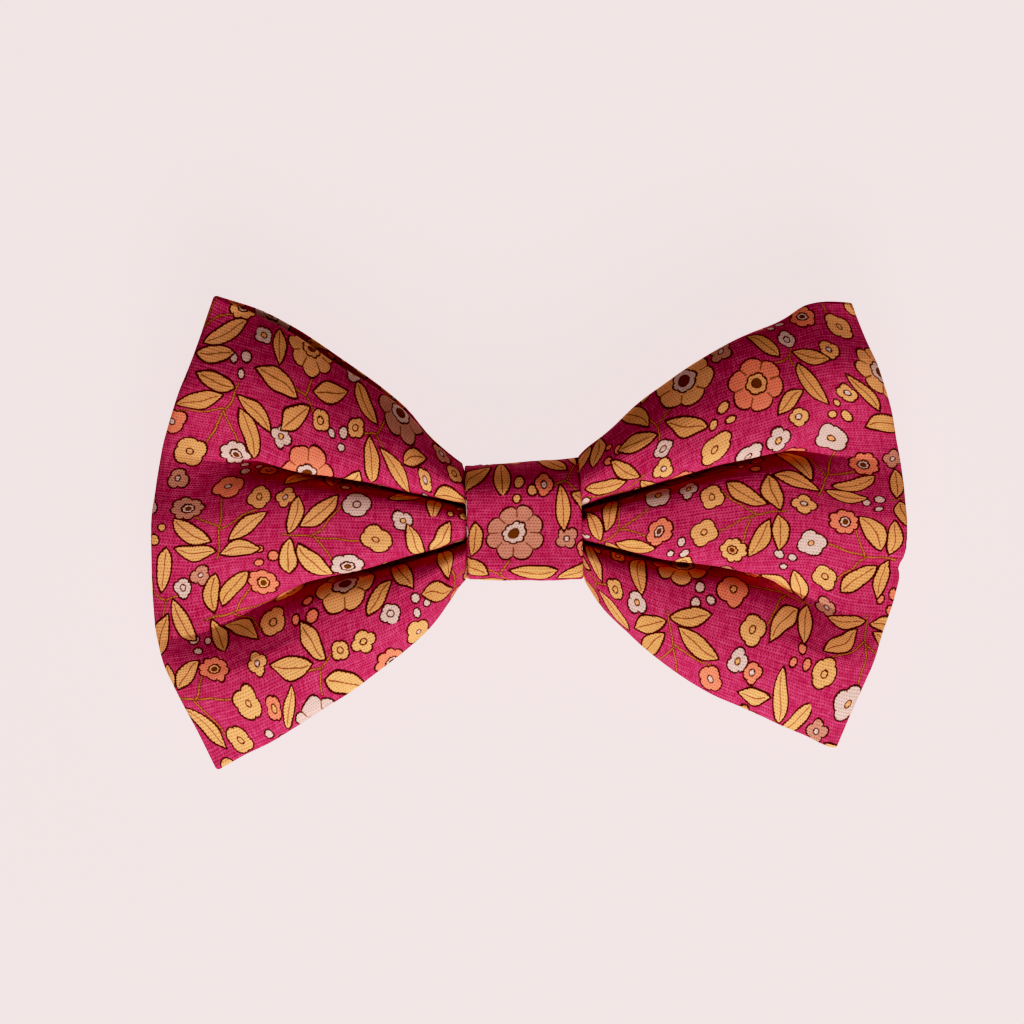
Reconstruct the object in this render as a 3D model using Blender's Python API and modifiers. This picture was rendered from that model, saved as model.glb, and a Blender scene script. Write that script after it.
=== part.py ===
"""Slide-on bow tie for a pet's collar: a hollow cotton bow, its centre band and an elastic loop.

The bow lies on its back. +X runs along its width, +Y up its height and +Z out of its front.
Its cloth is one loop: a front layer and a back layer that meet in a fold at each wing's end,
open along the top and bottom edges, and gathered into three rolls under the band.
"""
import math

import bmesh
import bpy
from mathutils import Vector

# Sizes of the bow, in metres
LEFT_REACH = 0.0502      # band's side to the furthest point of the left wing
RIGHT_REACH = 0.0518
BOW_HEIGHT = 0.0758      # highest corner to lowest corner
CLOTH_WALL = 0.0012      # folded cotton with its fused backing

# Sizes of the centre band
BAND_WIDTH = 0.0182
BAND_HEIGHT = 0.0186
BAND_DEPTH = 0.0150
BAND_WALL = 0.0012
BAND_TOP_ROUND = 0.0042  # its upper front corner, outside
BAND_ROUND = 0.0024      # its other three corners, outside

# Sizes of the elastic loop behind the band
COLLAR_HEIGHT = 0.0156   # tallest collar that slides through unstretched
COLLAR_THICK = 0.0050
ELASTIC_WIDTH = 0.0160
ELASTIC_WALL = 0.0012

GAP = 0.0003             # between neighbouring pieces
FLARE = 0.0008           # the cloth's run while it spreads as it leaves the band

# Each wing's edges and creases, as heights over the band's centre: beside the band in shares of
# BAND_HEIGHT, and along the wing in shares of BOW_HEIGHT
EDGE_COLUMNS = ("along", "top", "upper_crease", "lower_crease", "bottom")
LEFT_ROOT = (0.00, 0.481, 0.130, -0.179, -0.522)
LEFT_EDGES = (
    (0.13, 0.155, 0.054, -0.066, -0.214),
    (0.30, 0.252, 0.078, -0.100, -0.304),
    (0.50, 0.340, 0.096, -0.134, -0.376),
    (0.70, 0.411, 0.119, -0.190, -0.436),
    (0.87, 0.449, 0.130, -0.239, -0.488),
    (1.00, 0.474, 0.138, -0.253, -0.526),
)
RIGHT_ROOT = (0.00, 0.522, 0.122, -0.179, -0.497)
RIGHT_EDGES = (
    (0.13, 0.192, 0.056, -0.062, -0.203),
    (0.30, 0.270, 0.088, -0.086, -0.298),
    (0.50, 0.348, 0.124, -0.109, -0.368),
    (0.70, 0.411, 0.140, -0.152, -0.410),
    (0.87, 0.461, 0.129, -0.198, -0.457),
    (1.00, 0.461, 0.120, -0.215, -0.480),
)

# Each wing's end fold from its bottom corner to its top corner, in shares of the wing's reach
FOLD_COLUMNS = ("up", "reach")
LEFT_FOLD = (
    (0.00, 0.790),
    (0.16, 0.911),
    (0.30, 0.990),
    (0.46, 1.000),
    (0.67, 0.968),
    (0.87, 0.879),
    (1.00, 0.800),
)
RIGHT_FOLD = (
    (0.00, 0.790),
    (0.18, 0.894),
    (0.35, 0.971),
    (0.50, 1.000),
    (0.62, 0.994),
    (0.78, 0.940),
    (1.00, 0.838),
)

# How far the layers stand off the bow's middle plane, in shares of half the gathers' depth:
# the crests of the rolls, the drop from them into a crease and to the cloth's edges, and the
# wave that both layers share at the end fold
DEPTH_COLUMNS = ("along", "front", "front_crease", "front_edge", "back", "back_crease", "wave")
WING_DEPTHS = (
    (0.00, 1.02, 0.50, 0.42, 0.98, 0.20, 0.00),
    (0.13, 1.22, 0.66, 0.50, 1.08, 0.26, 0.00),
    (0.30, 1.24, 0.74, 0.54, 1.04, 0.26, 0.01),
    (0.50, 1.08, 0.60, 0.46, 0.90, 0.20, 0.04),
    (0.70, 0.84, 0.32, 0.28, 0.72, 0.12, 0.08),
    (0.87, 0.62, 0.14, 0.12, 0.55, 0.06, 0.13),
    (1.00, 0.44, 0.08, 0.06, 0.42, 0.04, 0.16),
)
KNOT_DEPTHS = {"front": 1.0, "front_crease": 0.30, "front_edge": 0.20, "back": 1.0, "back_crease": 0.18}

ROLL_BOUNDS = ("bottom", "lower_crease", "upper_crease", "top")
ROLLS = len(ROLL_BOUNDS) - 1
ROLL_SHARES = (0.0, 0.13, 0.30, 0.5, 0.70, 0.87)
WING_SHARES = (0.0, 0.06, 0.14, 0.24, 0.35, 0.47, 0.59, 0.70, 0.80, 0.88, 0.94, 0.98, 0.998)
SOFT_FROM = 0.75         # along a wing: creases before it are sharp, after it soft valleys
END_SHARPNESS = 7.0      # how late a layer turns into the end fold
BEND_STEPS = 6           # faces round each corner of the band and the elastic loop
MERGE = 0.000001
SHARP_ANGLE = math.radians(40)

# Worked out from the sizes above
HALF_BAND = BAND_WIDTH / 2
BAND_TO_CLOTH = BAND_WALL + GAP + CLOTH_WALL / 2
KNOT_HALF_HEIGHT = BAND_HEIGHT / 2 - BAND_TO_CLOTH
KNOT_HALF_DEPTH = BAND_DEPTH / 2 - BAND_TO_CLOTH
KNOT_END = HALF_BAND + GAP
WING_ROOT = KNOT_END + CLOTH_WALL / 2 + FLARE
LOOP_DEPTH = COLLAR_THICK + 2 * ELASTIC_WALL
BAND_LEVEL = LOOP_DEPTH + GAP + BAND_DEPTH / 2
HIGHEST = max(row[1] for row in LEFT_EDGES + RIGHT_EDGES) * BOW_HEIGHT
LOWEST = min(row[-1] for row in LEFT_EDGES + RIGHT_EDGES) * BOW_HEIGHT
BAND_CENTRE = Vector(((LEFT_REACH - RIGHT_REACH) / 2, -(HIGHEST + LOWEST) / 2, BAND_LEVEL))


def start_clean():
    for item in list(bpy.data.objects):
        bpy.data.objects.remove(item, do_unlink=True)


def new_collection(name):
    collection = bpy.data.collections.new(name)
    bpy.context.scene.collection.children.link(collection)
    return collection


def new_material(name, colour, roughness):
    material = bpy.data.materials.new(name)
    material.use_nodes = True
    surface = material.node_tree.nodes["Principled BSDF"]
    surface.inputs["Base Color"].default_value = (*colour, 1.0)
    surface.inputs["Roughness"].default_value = roughness
    surface.inputs["Metallic"].default_value = 0.0
    return material


def in_metres(root, rows):
    """A wing's table of heights, with its shares multiplied out."""
    lengths = [BAND_HEIGHT] + [BOW_HEIGHT] * len(rows)
    table = (root, *rows)
    return [(row[0], *(share * length for share in row[1:])) for row, length in zip(table, lengths)]


def read_row(table, columns, at):
    """A table's columns at a place along its first column, on a smooth curve through its rows."""
    last = len(table) - 1
    row = max(i for i in range(last) if i == 0 or table[i][0] <= at)
    here, there = table[row], table[row + 1]
    before, after = table[max(row - 1, 0)], table[min(row + 2, last)]
    span = there[0] - here[0]
    t = (at - here[0]) / span
    values = {}
    for index, name in enumerate(columns):
        leave = (there[index] - before[index]) / (there[0] - before[0]) * span
        arrive = (after[index] - here[index]) / (after[0] - here[0]) * span
        values[name] = (
            here[index] * (1 + 2 * t) * (1 - t) ** 2
            + leave * t * (1 - t) ** 2
            + there[index] * t * t * (3 - 2 * t)
            - arrive * t * t * (1 - t)
        )
    return values


def across_the_cloth():
    """Each place up the cloth: its roll, 0 at the bottom, and its share of that roll's height."""
    places = [(roll, share) for roll in range(ROLLS) for share in ROLL_SHARES]
    places.append((ROLLS - 1, 1.0))
    return places


def roll_height(heights, roll, share):
    low, high = heights[ROLL_BOUNDS[roll]], heights[ROLL_BOUNDS[roll + 1]]
    return low + (high - low) * share


def lift_off_middle(depths, layer, roll, share, softness):
    """A layer's distance from the middle plane: full on a roll's crest, less in its creases."""
    edge_drop = depths.get(layer + "_edge", depths[layer + "_crease"])
    at_cloth_edge = (roll == 0 and share < 0.5) or (roll == ROLLS - 1 and share > 0.5)
    drop = edge_drop if at_cloth_edge else depths[layer + "_crease"]
    roundness = math.sin(math.pi * share) ** (1.0 + softness)
    return depths[layer] - drop * (1.0 - roundness)


def wing_point(wing, layer, along, roll, share):
    """A point of the cloth's middle surface on a wing, measured from the band's centre."""
    side, reach, heights_table, fold_table = wing
    heights = read_row(heights_table, EDGE_COLUMNS, along)
    ends = read_row(heights_table, EDGE_COLUMNS, 1.0)
    depths = read_row(WING_DEPTHS, DEPTH_COLUMNS, along)
    up = (roll_height(ends, roll, share) - ends["bottom"]) / (ends["top"] - ends["bottom"])
    fold = read_row(fold_table, FOLD_COLUMNS, up)["reach"]
    out = WING_ROOT + along * (HALF_BAND + fold * reach - CLOTH_WALL / 2 - WING_ROOT)
    lift = lift_off_middle(depths, layer, roll, share, min(along / SOFT_FROM, 1.0) ** 2)
    closing = math.sqrt(max(1.0 - along ** END_SHARPNESS, 0.0))
    wave = -depths["wave"] * math.cos(2 * math.pi * share)
    facing = 1.0 if layer == "front" else -1.0
    depth = (facing * lift * closing + wave) * (KNOT_HALF_DEPTH + CLOTH_WALL / 2)
    return Vector((side * out, roll_height(heights, roll, share), depth))


def room_under_band(height, outer_round):
    """Half the depth inside the band at a height, less the gap and half the cloth."""
    bend = max(outer_round - BAND_TO_CLOTH, 0.0)
    past_flat = max(abs(height) - (KNOT_HALF_HEIGHT - bend), 0.0)
    return KNOT_HALF_DEPTH - bend + math.sqrt(max(bend * bend - past_flat * past_flat, 0.0))


def knot_point(layer, x, roll, share, trim=0.0):
    """A point of the gathered cloth under the band; trim draws its edges in."""
    height = (2 * (roll + share) / ROLLS - 1) * (KNOT_HALF_HEIGHT - trim)
    lift = lift_off_middle(KNOT_DEPTHS, layer, roll, share, 0.0)
    if layer == "front":
        return Vector((x, height, lift * room_under_band(height, BAND_TOP_ROUND)))
    return Vector((x, height, -lift * room_under_band(height, BAND_ROUND)))


def grid_faces(mesh, rows, closed_rows, closed_columns):
    """Quads between neighbouring rows of points."""
    corners = [[mesh.verts.new(point) for point in row] for row in rows]
    row_steps = len(rows) if closed_rows else len(rows) - 1
    column_steps = len(rows[0]) if closed_columns else len(rows[0]) - 1
    for i in range(row_steps):
        this_row, next_row = corners[i], corners[(i + 1) % len(rows)]
        for j in range(column_steps):
            k = (j + 1) % len(this_row)
            mesh.faces.new((this_row[j], this_row[k], next_row[k], next_row[j]))
    return corners


def finish_object(name, mesh, material, collection, holder):
    bmesh.ops.remove_doubles(mesh, verts=mesh.verts, dist=MERGE)
    bmesh.ops.recalc_face_normals(mesh, faces=mesh.faces)
    data = bpy.data.meshes.new(name)
    mesh.to_mesh(data)
    mesh.free()
    data.materials.append(material)
    data.shade_smooth()
    made = bpy.data.objects.new(name, data)
    made.parent = holder
    collection.objects.link(made)
    return made


def thicken(made, wall):
    """Gives an open surface its wall, half to each side."""
    solidify = made.modifiers.new("wall", "SOLIDIFY")
    solidify.thickness = wall
    solidify.offset = 0.0
    solidify.use_even_offset = True


def knot_filling(collection, holder, material):
    """The gathered cloth between the two layers under the band, packed solid."""
    mesh = bmesh.new()
    places = across_the_cloth()
    rows = []
    for x in (-HALF_BAND, HALF_BAND):
        front = [knot_point("front", x, roll, share, CLOTH_WALL / 2) for roll, share in places]
        back = [knot_point("back", x, roll, share, CLOTH_WALL / 2) for roll, share in places]
        rows.append(front + back[::-1])
    left_end, right_end = grid_faces(mesh, rows, False, True)
    mesh.faces.new(left_end)
    mesh.faces.new(right_end)
    filling = finish_object("knot_filling", mesh, material, collection, holder)
    filling.hide_render = True
    filling.display_type = "WIRE"
    return filling


def bow_body(collection, cutters, holder, material):
    """The cloth loop: out along a wing's front layer, round its end fold and back behind."""
    left = (-1.0, LEFT_REACH, in_metres(LEFT_ROOT, LEFT_EDGES), LEFT_FOLD)
    right = (1.0, RIGHT_REACH, in_metres(RIGHT_ROOT, RIGHT_EDGES), RIGHT_FOLD)
    places = across_the_cloth()

    def wing_row(wing, layer, along):
        return [wing_point(wing, layer, along, roll, share) for roll, share in places]

    def knot_row(layer, x):
        return [knot_point(layer, x, roll, share) for roll, share in places]

    rows = [knot_row("front", x) for x in (-KNOT_END, 0.0, KNOT_END)]
    rows += [wing_row(right, "front", along) for along in WING_SHARES]
    rows.append(wing_row(right, "front", 1.0))
    rows += [wing_row(right, "back", along) for along in reversed(WING_SHARES)]
    rows += [knot_row("back", x) for x in (KNOT_END, 0.0, -KNOT_END)]
    rows += [wing_row(left, "back", along) for along in WING_SHARES]
    rows.append(wing_row(left, "front", 1.0))
    rows += [wing_row(left, "front", along) for along in reversed(WING_SHARES)]
    mesh = bmesh.new()
    grid_faces(mesh, rows, True, False)
    bow = finish_object("bow_body", mesh, material, collection, holder)
    thicken(bow, CLOTH_WALL)
    packed = bow.modifiers.new("packed_middle", "BOOLEAN")
    packed.operation = "UNION"
    packed.object = knot_filling(cutters, holder, material)


def ring_outline(height, depth, rounds):
    """A rounded rectangle across the bow, through four corners with their own rounds."""
    outline = []
    corners = ((1, 1), (-1, 1), (-1, -1), (1, -1))
    for quarter, ((up, front), bend) in enumerate(zip(corners, rounds)):
        centre_up = up * (height / 2 - bend)
        centre_front = front * (depth / 2 - bend)
        for step in range(BEND_STEPS + 1):
            angle = (quarter + step / BEND_STEPS) * math.pi / 2
            outline.append((centre_up + bend * math.cos(angle), centre_front + bend * math.sin(angle)))
    return outline


def strap_ring(name, outline, width, wall, level, material, collection, holder):
    """A flat strap closed to a ring, from the outline of its wall's middle."""
    mesh = bmesh.new()
    rows = [[Vector((x, up, level + front)) for x in (-width / 2, width / 2)] for up, front in outline]
    grid_faces(mesh, rows, True, False)
    ring = finish_object(name, mesh, material, collection, holder)
    ring.data.set_sharp_from_angle(angle=SHARP_ANGLE)
    thicken(ring, wall)


def centre_band(collection, holder, material):
    rounds = [bend - BAND_WALL / 2 for bend in (BAND_TOP_ROUND, BAND_ROUND, BAND_ROUND, BAND_ROUND)]
    outline = ring_outline(BAND_HEIGHT - BAND_WALL, BAND_DEPTH - BAND_WALL, rounds)
    strap_ring("centre_band", outline, BAND_WIDTH, BAND_WALL, 0.0, material, collection, holder)


def collar_loop(collection, holder, material):
    bend = (COLLAR_THICK + ELASTIC_WALL) / 2
    outline = ring_outline(COLLAR_HEIGHT + ELASTIC_WALL, COLLAR_THICK + ELASTIC_WALL, [bend] * 4)
    level = LOOP_DEPTH / 2 - BAND_LEVEL
    strap_ring("collar_loop", outline, ELASTIC_WIDTH, ELASTIC_WALL, level, material, collection, holder)


def build():
    start_clean()
    parts = new_collection("pet_bow_tie")
    cutters = new_collection("cutters")
    holder = bpy.data.objects.new("bow_tie_centre", None)
    holder.location = BAND_CENTRE
    parts.objects.link(holder)
    bow_body(parts, cutters, holder, new_material("bow_cotton", (0.38, 0.01, 0.06), 0.85))
    centre_band(parts, holder, new_material("band_cotton", (0.38, 0.01, 0.06), 0.85))
    collar_loop(parts, holder, new_material("elastic", (0.38, 0.01, 0.06), 0.8))


build()
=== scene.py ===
"""Slide-on bow tie for a pet's collar: gathered printed cotton, its band and an elastic loop."""
import math

import bpy
import numpy as np
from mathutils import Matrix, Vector, noise


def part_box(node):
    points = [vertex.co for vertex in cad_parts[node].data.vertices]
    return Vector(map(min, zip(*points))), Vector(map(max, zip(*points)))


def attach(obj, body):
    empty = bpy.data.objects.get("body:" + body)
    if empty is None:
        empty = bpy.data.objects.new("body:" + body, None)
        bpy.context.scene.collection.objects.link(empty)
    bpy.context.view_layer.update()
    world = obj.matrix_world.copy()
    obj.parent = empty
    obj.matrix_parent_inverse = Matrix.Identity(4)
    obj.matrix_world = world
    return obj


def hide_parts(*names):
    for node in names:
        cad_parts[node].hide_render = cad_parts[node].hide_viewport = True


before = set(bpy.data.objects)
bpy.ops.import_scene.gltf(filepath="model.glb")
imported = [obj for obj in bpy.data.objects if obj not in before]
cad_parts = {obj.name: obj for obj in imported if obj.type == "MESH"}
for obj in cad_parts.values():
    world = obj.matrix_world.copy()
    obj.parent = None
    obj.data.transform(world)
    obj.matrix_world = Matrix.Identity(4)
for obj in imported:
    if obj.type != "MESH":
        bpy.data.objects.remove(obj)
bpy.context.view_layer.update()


# The bow lies on its back on a pale sheet and is photographed from straight above. Soft window light
# comes from beyond its bottom edge, and the sheet is a light table, so that it has hardly a shadow.
band_low, band_high = (np.array(corner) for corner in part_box("centre_band"))
BAND_MIDDLE = (band_low + band_high) / 2
VIEW_WIDTH = 0.1633          # what the picture takes in across the bow's middle plane
CAMERA_PLACE = (-0.00255, 0.00327, 0.90)
SENSOR = 0.036
HALF_SHEET = 1.5
ROOM_LIGHT, WALL_SEEN = (1.0, 0.94, 0.94, 1.0), (0.888, 0.783, 0.783, 1.0)
SHEET_COLOUR, SHEET_GLOW = (0.10, 0.088, 0.088, 1.0), (1.06, 0.872, 0.872, 1.0)


def set_out(name, data):
    """An object in the scene for a camera, a light, a mesh or a curve."""
    made = bpy.data.objects.new(name, data)
    bpy.context.scene.collection.objects.link(made)
    return made


camera_data = bpy.data.cameras.new("camera")
camera_data.sensor_width = SENSOR * 1000
camera_data.lens = SENSOR * 1000 * (CAMERA_PLACE[2] - BAND_MIDDLE[2]) / VIEW_WIDTH
camera_data.clip_start, camera_data.clip_end = 0.01, 10.0
camera = set_out("camera", camera_data)
camera.location = CAMERA_PLACE
bpy.context.scene.camera = camera
view = bpy.context.scene.view_settings
view.view_transform = "Standard"
view.use_curve_mapping = True
# The picture's contrast: deep reddish shade, held lights
view.curve_mapping.black_level = (0.006, 0.016, 0.020)
contrast = view.curve_mapping.curves[3]
for light_in, light_out in ((0.04, 0.026), (0.12, 0.092), (0.30, 0.272), (0.50, 0.49), (0.75, 0.67)):
    contrast.points.new(light_in, light_out)
contrast.points[-1].location = (1.0, 0.81)
view.curve_mapping.update()

for name, place, power in (("tall_window", (0.15, -1.14, 1.06), 33.0), ("overhead_fill", (0.10, -0.10, 1.50), 1.0)):
    light_data = bpy.data.lights.new(name, "AREA")
    light_data.shape = "SQUARE"
    light_data.size = 0.90
    light_data.energy = power
    light = set_out(name, light_data)
    light.location = place
    light.rotation_euler = (Vector((0.0, 0.0, 0.01)) - Vector(place)).to_track_quat("-Z", "Y").to_euler()

world = bpy.data.worlds.new("pale_room")
world.use_nodes = True
room = world.node_tree
room_light = room.nodes["Background"]
room_light.inputs["Color"].default_value = ROOM_LIGHT
room_light.inputs["Strength"].default_value = 0.07
wall_seen = room.nodes.new("ShaderNodeBackground")
wall_seen.inputs["Color"].default_value = WALL_SEEN
either_one = room.nodes.new("ShaderNodeMixShader")
room.links.new(room.nodes.new("ShaderNodeLightPath").outputs["Is Camera Ray"], either_one.inputs[0])
room.links.new(room_light.outputs[0], either_one.inputs[1])
room.links.new(wall_seen.outputs[0], either_one.inputs[2])
room.links.new(either_one.outputs[0], room.nodes["World Output"].inputs["Surface"])
bpy.context.scene.world = world

sheet_mesh = bpy.data.meshes.new("pale_sheet")
sheet_corners = [(HALF_SHEET * x, HALF_SHEET * y, 0.0) for x, y in ((-1, -1), (1, -1), (1, 1), (-1, 1))]
sheet_mesh.from_pydata(sheet_corners, [], [(0, 1, 2, 3)])
pale_sheet = set_out("pale_sheet", sheet_mesh)
light_table = bpy.data.materials.new("light_table")
light_table.use_nodes = True
for name, value in (("Base Color", SHEET_COLOUR), ("Roughness", 0.9), ("Specular IOR Level", 0.0),
                    ("Emission Color", SHEET_GLOW), ("Emission Strength", 1.0)):
    light_table.node_tree.nodes["Principled BSDF"].inputs[name].default_value = value
sheet_mesh.materials.append(light_table)


# The bow is one wide strip of double cotton, closed to a flat loop and gathered in the middle
# into three rolls with two deep pleats between them. Its long edges and its two ends are folds.
LOOP_LENGTH = 244.8          # the flat strip, in millimetres, as are all the bow's sizes
STRIP_HEIGHT = 78.0
CLOTH = 1.0                  # both plies
HALF_BAND = 9.1
KNOT_HALF_WIDTH = 10.2       # cloth from the middle to where a wing starts
WING_CLOTH = 51.0            # cloth from there to the end fold

# Each wing's lines as (share of the run from the band to the end fold, height over the band's middle);
# its fold as (share up the fold, share of the reach); its pockets as (share, depth, lap over the crease)
LEFT_WING = {
    "side": -1.0, "reach": 50.2,
    "top": ((0, 9.0), (.014, 9.4), (.06, 10.9), (.126, 13.4), (.205, 17.1), (.304, 20.6), (.483, 25.7),
            (.662, 30.5), (.813, 33.6), (1, 36.0)),
    "upper": ((0, 2.4), (.13, 4.1), (.30, 5.9), (.50, 7.3), (.70, 9.0), (.87, 9.8), (1, 10.8)),
    "lower": ((0, -3.3), (.13, -5.0), (.30, -7.6), (.50, -10.1), (.70, -14.4), (.87, -18.1), (1, -19.2)),
    "bottom": ((0, -9.7), (.014, -10.3), (.087, -14.7), (.208, -20.0), (.348, -24.6), (.509, -29.4),
               (.630, -32.4), (.791, -35.9), (.912, -38.1), (1, -40.0)),
    "fold": ((0, .79), (.072, .8475), (.156, .911), (.241, .965), (.304, .99), (.357, 1), (.484, .997),
             (.569, .99), (.674, .966), (.77, .923), (.875, .863), (.949, .826), (1, .80)),
    "upper_pocket": ((0, 8.0, 1.2), (.15, 8.5, 2.6), (.35, 8.0, 2.8), (.5, 7.2, 2.2), (.62, 5.4, 1.4),
                     (.73, 3.8, .5), (.85, 2.0, .05), (1, .8, 0)),
    "lower_pocket": ((0, 8.0, 1.2), (.15, 8.5, 2.6), (.3, 8.2, 2.5), (.44, 6.6, 1.5), (.55, 4.8, .5),
                     (.68, 3.7, .1), (.85, 2.6, 0), (1, 1.5, 0)),
    "peek": ((0, 0), (.15, .1), (.35, .3), (.6, .4), (.85, .55), (1, .4)),
    "pleat_places": ((26.0, 21.3), (52.0, 52.2)),
}
RIGHT_WING = {
    "side": 1.0, "reach": 51.8,
    "top": ((0, 10.4), (.011, 10.9), (.074, 13.2), (.221, 19.1), (.406, 25.5), (.590, 30.2), (.756, 33.1),
            (.830, 34.9), (.867, 35.2), (1, 34.9)),
    "upper": ((0, 2.2), (.13, 4.2), (.30, 6.7), (.50, 9.4), (.70, 10.6), (.87, 9.8), (1, 9.1)),
    "lower": ((0, -3.4), (.13, -4.7), (.30, -6.5), (.50, -8.3), (.70, -11.5), (.87, -15.0), (1, -16.3)),
    "bottom": ((0, -10.2), (.012, -10.9), (.078, -14.7), (.156, -18.0), (.273, -22.2), (.469, -27.8),
               (.60, -30.4), (.703, -32.0), (.859, -34.3), (.977, -36.3), (1, -36.5)),
    "fold": ((0, .789), (.079, .832), (.18, .894), (.27, .94), (.349, .971), (.392, .984), (.405, .981),
             (.43, .998), (.506, 1.004), (.596, .998), (.685, .978), (.775, .957), (.854, .919),
             (.943, .867), (1, .838)),
    "upper_pocket": ((0, 8.0, 1.2), (.15, 8.5, 2.4), (.35, 8.0, 2.8), (.52, 6.8, 2.2), (.63, 4.8, 1.1),
                     (.76, 3.1, .2), (.9, 1.8, 0), (1, .9, 0)),
    "lower_pocket": ((0, 8.0, 1.0), (.15, 8.0, 2.2), (.3, 7.2, 2.2), (.45, 5.6, 1.6), (.57, 4.4, .9),
                     (.7, 3.2, .2), (.82, 2.3, 0), (.92, 1.3, 0), (1, .7, 0)),
    "peek": ((0, 0), (.2, .2), (.6, .3), (1, .2)),
    "pleat_places": ((26.0, 21.6), (52.0, 49.2)),
}
LINES = ("bottom", "lower", "upper", "top")
# (share of the run, crest of the front rolls over the middle plane, front edges' drop and curl,
# crest of the back rolls, the back's creases and the wave that both layers share)
WING_FORM = ((0, 6.1, 8.6, 1.2, 5.9, 2.0, 0), (.13, 7.3, 8.2, 1.6, 6.5, 2.4, 0),
             (.30, 7.4, 7.0, 1.2, 6.2, 2.2, .05), (.50, 6.6, 5.7, .8, 5.4, 1.7, .2),
             (.70, 5.5, 4.3, .4, 4.3, 1.1, .4), (.87, 4.5, 3.0, .1, 3.3, .6, .7), (1, 3.2, 1.4, 0, 2.6, .4, .9))
CREST_SHARES = (0.60, 0.58, 0.46)       # how high up each roll its crest lies
TOP_SPREAD = 1.15                       # how much wider the top edge rounds off than the bottom edge
BACK_TUCK = 1.3                         # how far the back layer's edges stay hidden
LEAN = {"front": 3.2, "back": 1.7}      # how far each layer's top edge leans back
LEAN_AT_FOLD = 1.0
UNDER_BAND_SIDE = 0.45                  # how far out of the band's side a wing starts
GATHER_IN, GATHER_DOWN = 7.0 / 9.5, 4.7 / 6.1      # how much the band draws the cloth in
# The cloth's points from a crest into a pleat, out of it over the next roll, and up from an edge:
# (share of the way up, share of the lap, share of the depth, share of the way where it is gentle)
INTO_PLEAT = ((.73, 0, .02, .66), (.855, 0, .11, .77), (.93, 0, .31, .86), (.985, 0, .66, .93),
              (1, .5, .90, .98), (1, 1, 1, 1))
OUT_OF_PLEAT = ((0, .72, .80, .02), (0, .22, .53, .07), (0, 0, .34, .14), (.045, 0, .17, .22),
                (.15, 0, .06, .31), (.31, 0, .01, .41))
UP_FROM_EDGE = ((0, 1, 1, 0), (0, .35, .80, .05), (0, 0, .60, .12), (.06, 0, .42, .20), (.17, 0, .24, .30),
                (.33, 0, .08, .41))
SPLINE_STEPS = 3
CREST_POINTS = [place * SPLINE_STEPS for place in (6, 19, 32)]
STOP_POINTS = [place * SPLINE_STEPS for place in (0, 12, 25, 38)]      # bottom edge, pleats, top edge


def drawn_through(points, at, column=1):
    """The height of a smooth line through measured points, at places along it."""
    table = np.array(points, float)
    x, y = table[:, 0], table[:, column]
    slope = np.gradient(y, x)
    i = np.clip(np.searchsorted(x, at, side="right") - 1, 0, len(x) - 2)
    span = x[i + 1] - x[i]
    t = (at - x[i]) / span
    return (y[i] * (1 + 2 * t) * (1 - t) ** 2 + slope[i] * span * t * (1 - t) ** 2
            + y[i + 1] * t * t * (3 - 2 * t) - slope[i + 1] * span * t * t * (1 - t))


def crease_rows(rows, base, run, lap, depth, soft, spread=1.0):
    """Points of a crease as (up, out), between its lapped form and, where soft is 1, a gentle one."""
    made = []
    for share, tuck, drop, gentle in rows:
        sharp_y, soft_y = base + share * spread * run + tuck * lap, base + gentle * run
        valley = 1 - np.sin(math.pi * gentle) ** 1.05
        made.append((sharp_y + soft * (soft_y - sharp_y), -depth * (drop + soft * (valley - drop))))
    return made


def folded_edge(edge, inward, height, drop, curl, spread=1.0):
    """The cloth from its long edge's fold up to the nearest crest's flank."""
    rows = crease_rows(UP_FROM_EDGE, 0.0, height, curl, drop, np.exp(-curl / 0.4), spread)
    return [(edge + inward * up, out) for up, out in rows]


def cloth_section(bounds, pleats, drop, curl):
    """Points up the cloth, from its bottom edge over three crests to its top edge."""
    bottom, lower, upper, top = bounds
    crests = [(low + share * (high - low), np.zeros_like(low))
              for low, high, share in zip(bounds, bounds[1:], CREST_SHARES)]
    rows = folded_edge(bottom, 1, lower - bottom, drop, curl)
    for crest, (low, middle, high), (depth, lap) in zip(crests, (bounds[:3], bounds[1:]), pleats):
        soft = np.exp(-lap / 0.6)
        rows += [crest] + crease_rows(INTO_PLEAT, low, middle - low, lap, depth, soft)
        rows += crease_rows(OUT_OF_PLEAT, middle, high - middle, lap, depth, soft)
    rows += [crests[2]] + folded_edge(top, -1, top - upper, drop, curl, TOP_SPREAD)[::-1]
    return (np.array(part).T for part in zip(*rows))


def splined(points):
    """Points on a smooth line through each row's points, a few to every span."""
    before, after = 2 * points[:, :1] - points[:, 1:2], 2 * points[:, -1:] - points[:, -2:-1]
    padded = np.concatenate([before, points, after], axis=1)
    a, b, c, d = padded[:, :-3], padded[:, 1:-2], padded[:, 2:-1], padded[:, 3:]
    spans = [0.5 * (2 * b + (c - a) * t + (2 * a - 5 * b + 4 * c - d) * t * t + (3 * b - a - 3 * c + d) * t ** 3)
             for t in np.arange(SPLINE_STEPS) / SPLINE_STEPS]
    inner = np.stack(spans, axis=2).reshape(len(points), -1)
    return np.concatenate([inner, points[:, -1:]], axis=1)


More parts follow.
